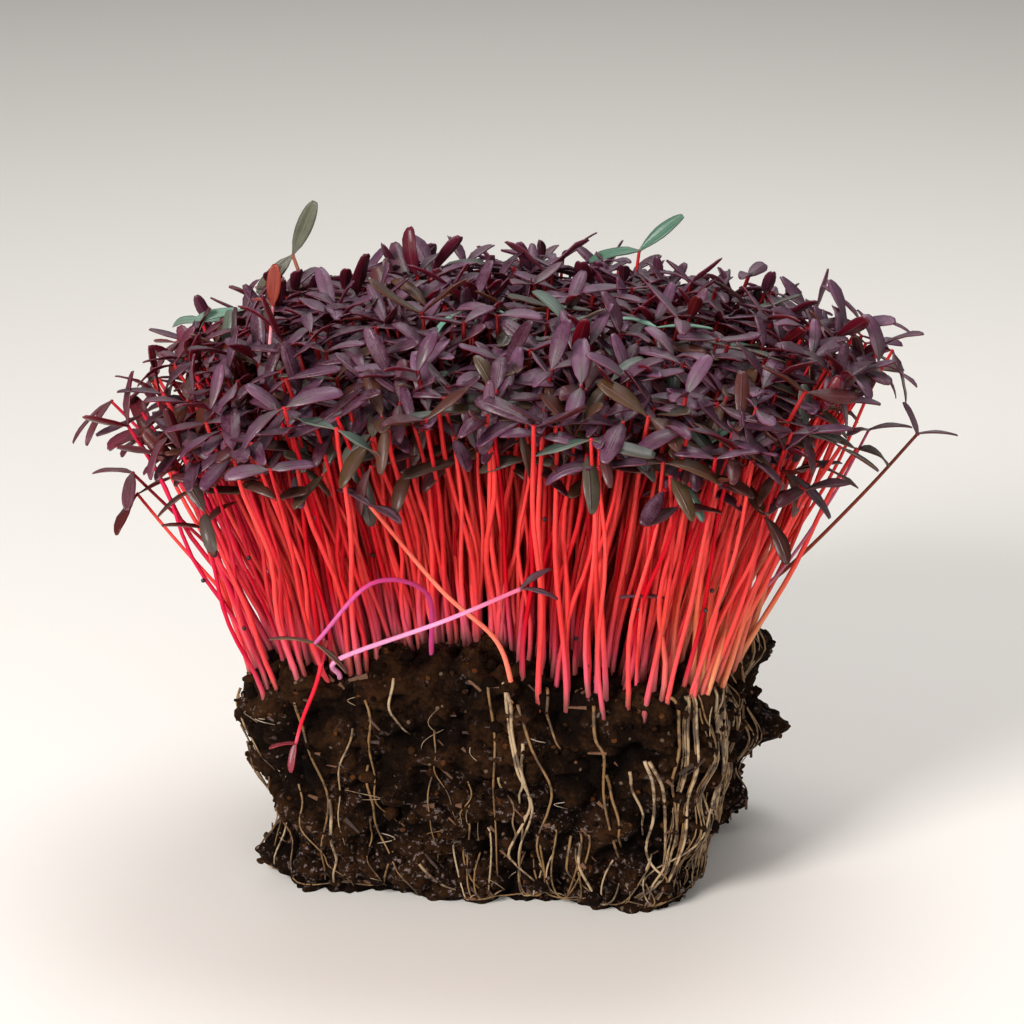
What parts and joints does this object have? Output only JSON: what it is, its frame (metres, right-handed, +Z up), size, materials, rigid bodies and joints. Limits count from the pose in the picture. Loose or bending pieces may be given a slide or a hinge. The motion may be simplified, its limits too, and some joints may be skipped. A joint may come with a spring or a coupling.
{
  "type": "amaranth microgreens on a block of potting soil",
  "caption": "Dense stand of red-stemmed, purple-leaved seedlings on a tapered, root-bound rectangular soil block that stands on its flat underside.",
  "frame": {"origin": "on the surface that the soil block stands on, under the middle of the block", "axes": "+Z up; +X along the block's longer side, to the right as seen from its front; -Y out of its front face"},
  "size_m": [0.1833, 0.1451, 0.1377],
  "materials": {
    "soil": "moist, crumbly, near-black brown potting soil with bark bits and wet specks",
    "stem": "smooth, juicy, slightly translucent coral to crimson stems",
    "leaf": "matt dusty purple seed leaves with a paler midrib and dark burgundy undersides",
    "stray_seedling": "thin stray seedlings from dull green to lilac pink and brown",
    "root": "dull tan fibrous roots"
  },
  "bodies": {
    "root": {"soil_block": "soil", "stems_01": "stem", "stems_02": "stem", "stems_03": "stem", "stems_04": "stem", "stems_05": "stem", "stems_06": "stem", "stems_07": "stem", "stems_08": "stem", "stems_09": "stem", "stems_10": "stem", "stems_11": "stem", "stems_12": "stem", "stems_13": "stem", "stems_14": "stem", "stems_15": "stem", "stems_16": "stem", "stems_17": "stem", "stems_18": "stem", "stems_19": "stem", "stems_20": "stem", "stems_21": "stem", "stems_22": "stem", "stems_23": "stem", "stems_24": "stem", "stems_25": "stem", "leaves_01": "leaf", "leaves_02": "leaf", "leaves_03": "leaf", "leaves_04": "leaf", "leaves_05": "leaf", "leaves_06": "leaf", "leaves_07": "leaf", "leaves_08": "leaf", "leaves_09": "leaf", "leaves_10": "leaf", "leaves_11": "leaf", "leaves_12": "leaf", "leaves_13": "leaf", "leaves_14": "leaf", "leaves_15": "leaf", "leaves_16": "leaf", "leaves_17": "leaf", "leaves_18": "leaf", "leaves_19": "leaf", "leaves_20": "leaf", "leaves_21": "leaf", "leaves_22": "leaf", "leaves_23": "leaf", "leaves_24": "leaf", "leaves_25": "leaf", "seedling_tall": "stray_seedling", "seedling_fallen": "stray_seedling", "seedling_drooping": "stray_seedling", "seedling_right": "stray_seedling", "seedling_left": "stray_seedling", "roots_corner": "root", "roots_front_right": "root", "roots_front_middle": "root", "roots_front_left": "root"}
  },
  "joints": []
}
